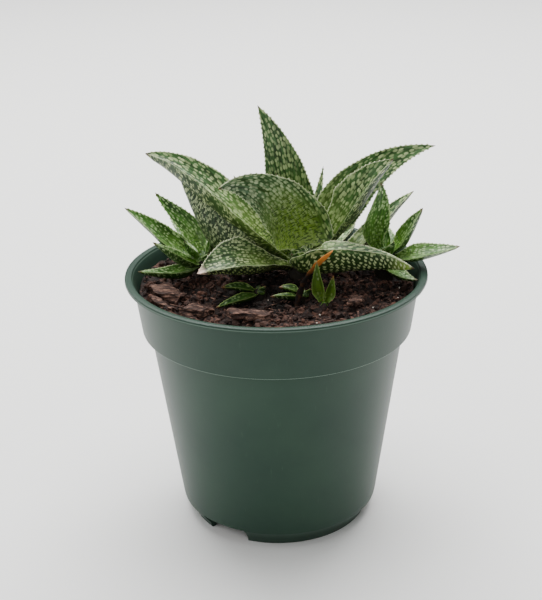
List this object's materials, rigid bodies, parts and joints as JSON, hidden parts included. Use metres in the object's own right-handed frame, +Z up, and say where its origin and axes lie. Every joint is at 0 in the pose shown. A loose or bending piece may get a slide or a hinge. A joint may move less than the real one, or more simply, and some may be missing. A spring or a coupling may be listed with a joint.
{
  "type": "potted aloe",
  "caption": "Spotted aloe with pointed toothed leaves and small offsets, growing in a green plastic nursery pot filled with soil.",
  "frame": {"origin": "middle of the flat underside of the pot, at table height", "axes": "+Z straight up; the camera of the picture looks along +Y, so -Y is the front that it shows and +X is to its right"},
  "size_m": [0.168, 0.152, 0.21],
  "materials": {
    "green_plastic": "dark green moulded polypropylene with a soft sheen",
    "potting_soil": "dark brown damp potting mix",
    "stem_skin": "dull green to brown stem skin",
    "spotted_leaf": "green waxy leaf skin with pale spots and a pale toothed margin",
    "young_leaf": "lighter green waxy skin of young leaves",
    "bark": "reddish brown rough bark",
    "dried_leaf_skin": "orange to brown dried leaf"
  },
  "bodies": {
    "root": {"pot": "green_plastic", "soil": "potting_soil", "stem_main": "stem_skin", "stem_left_pup": "stem_skin", "stem_right_pup": "stem_skin", "stem_front_pup": "stem_skin", "stem_small_pup": "stem_skin", "stem_tiny_pup": "stem_skin", "leaf_back_upright": "spotted_leaf", "leaf_centre_broad": "spotted_leaf", "leaf_left_long": "spotted_leaf", "leaf_left_low": "spotted_leaf", "leaf_right_long": "spotted_leaf", "leaf_right_trough": "spotted_leaf", "leaf_right_front": "spotted_leaf", "leaf_left_front": "spotted_leaf", "leaf_young": "spotted_leaf", "leaf_back_short": "spotted_leaf", "leaf_right_low": "spotted_leaf", "leaf_back_right": "spotted_leaf", "leaf_back_left": "spotted_leaf", "left_pup_long": "spotted_leaf", "left_pup_upright": "spotted_leaf", "left_pup_front": "spotted_leaf", "left_pup_lying": "spotted_leaf", "left_pup_back": "spotted_leaf", "right_pup_upright": "spotted_leaf", "right_pup_raised": "spotted_leaf", "right_pup_level": "spotted_leaf", "right_pup_low": "spotted_leaf", "right_pup_back": "spotted_leaf", "front_pup_left": "young_leaf", "front_pup_low": "young_leaf", "small_pup_upper": "young_leaf", "small_pup_lower": "young_leaf", "tiny_pup_tall": "young_leaf", "tiny_pup_short": "young_leaf", "bark_chip_left": "bark", "bark_chip_left_edge": "bark", "bark_chip_front": "bark", "bark_chip_middle": "bark", "bark_chip_right": "bark", "bark_chip_back": "bark", "dried_leaf": "dried_leaf_skin"}
  },
  "joints": []
}
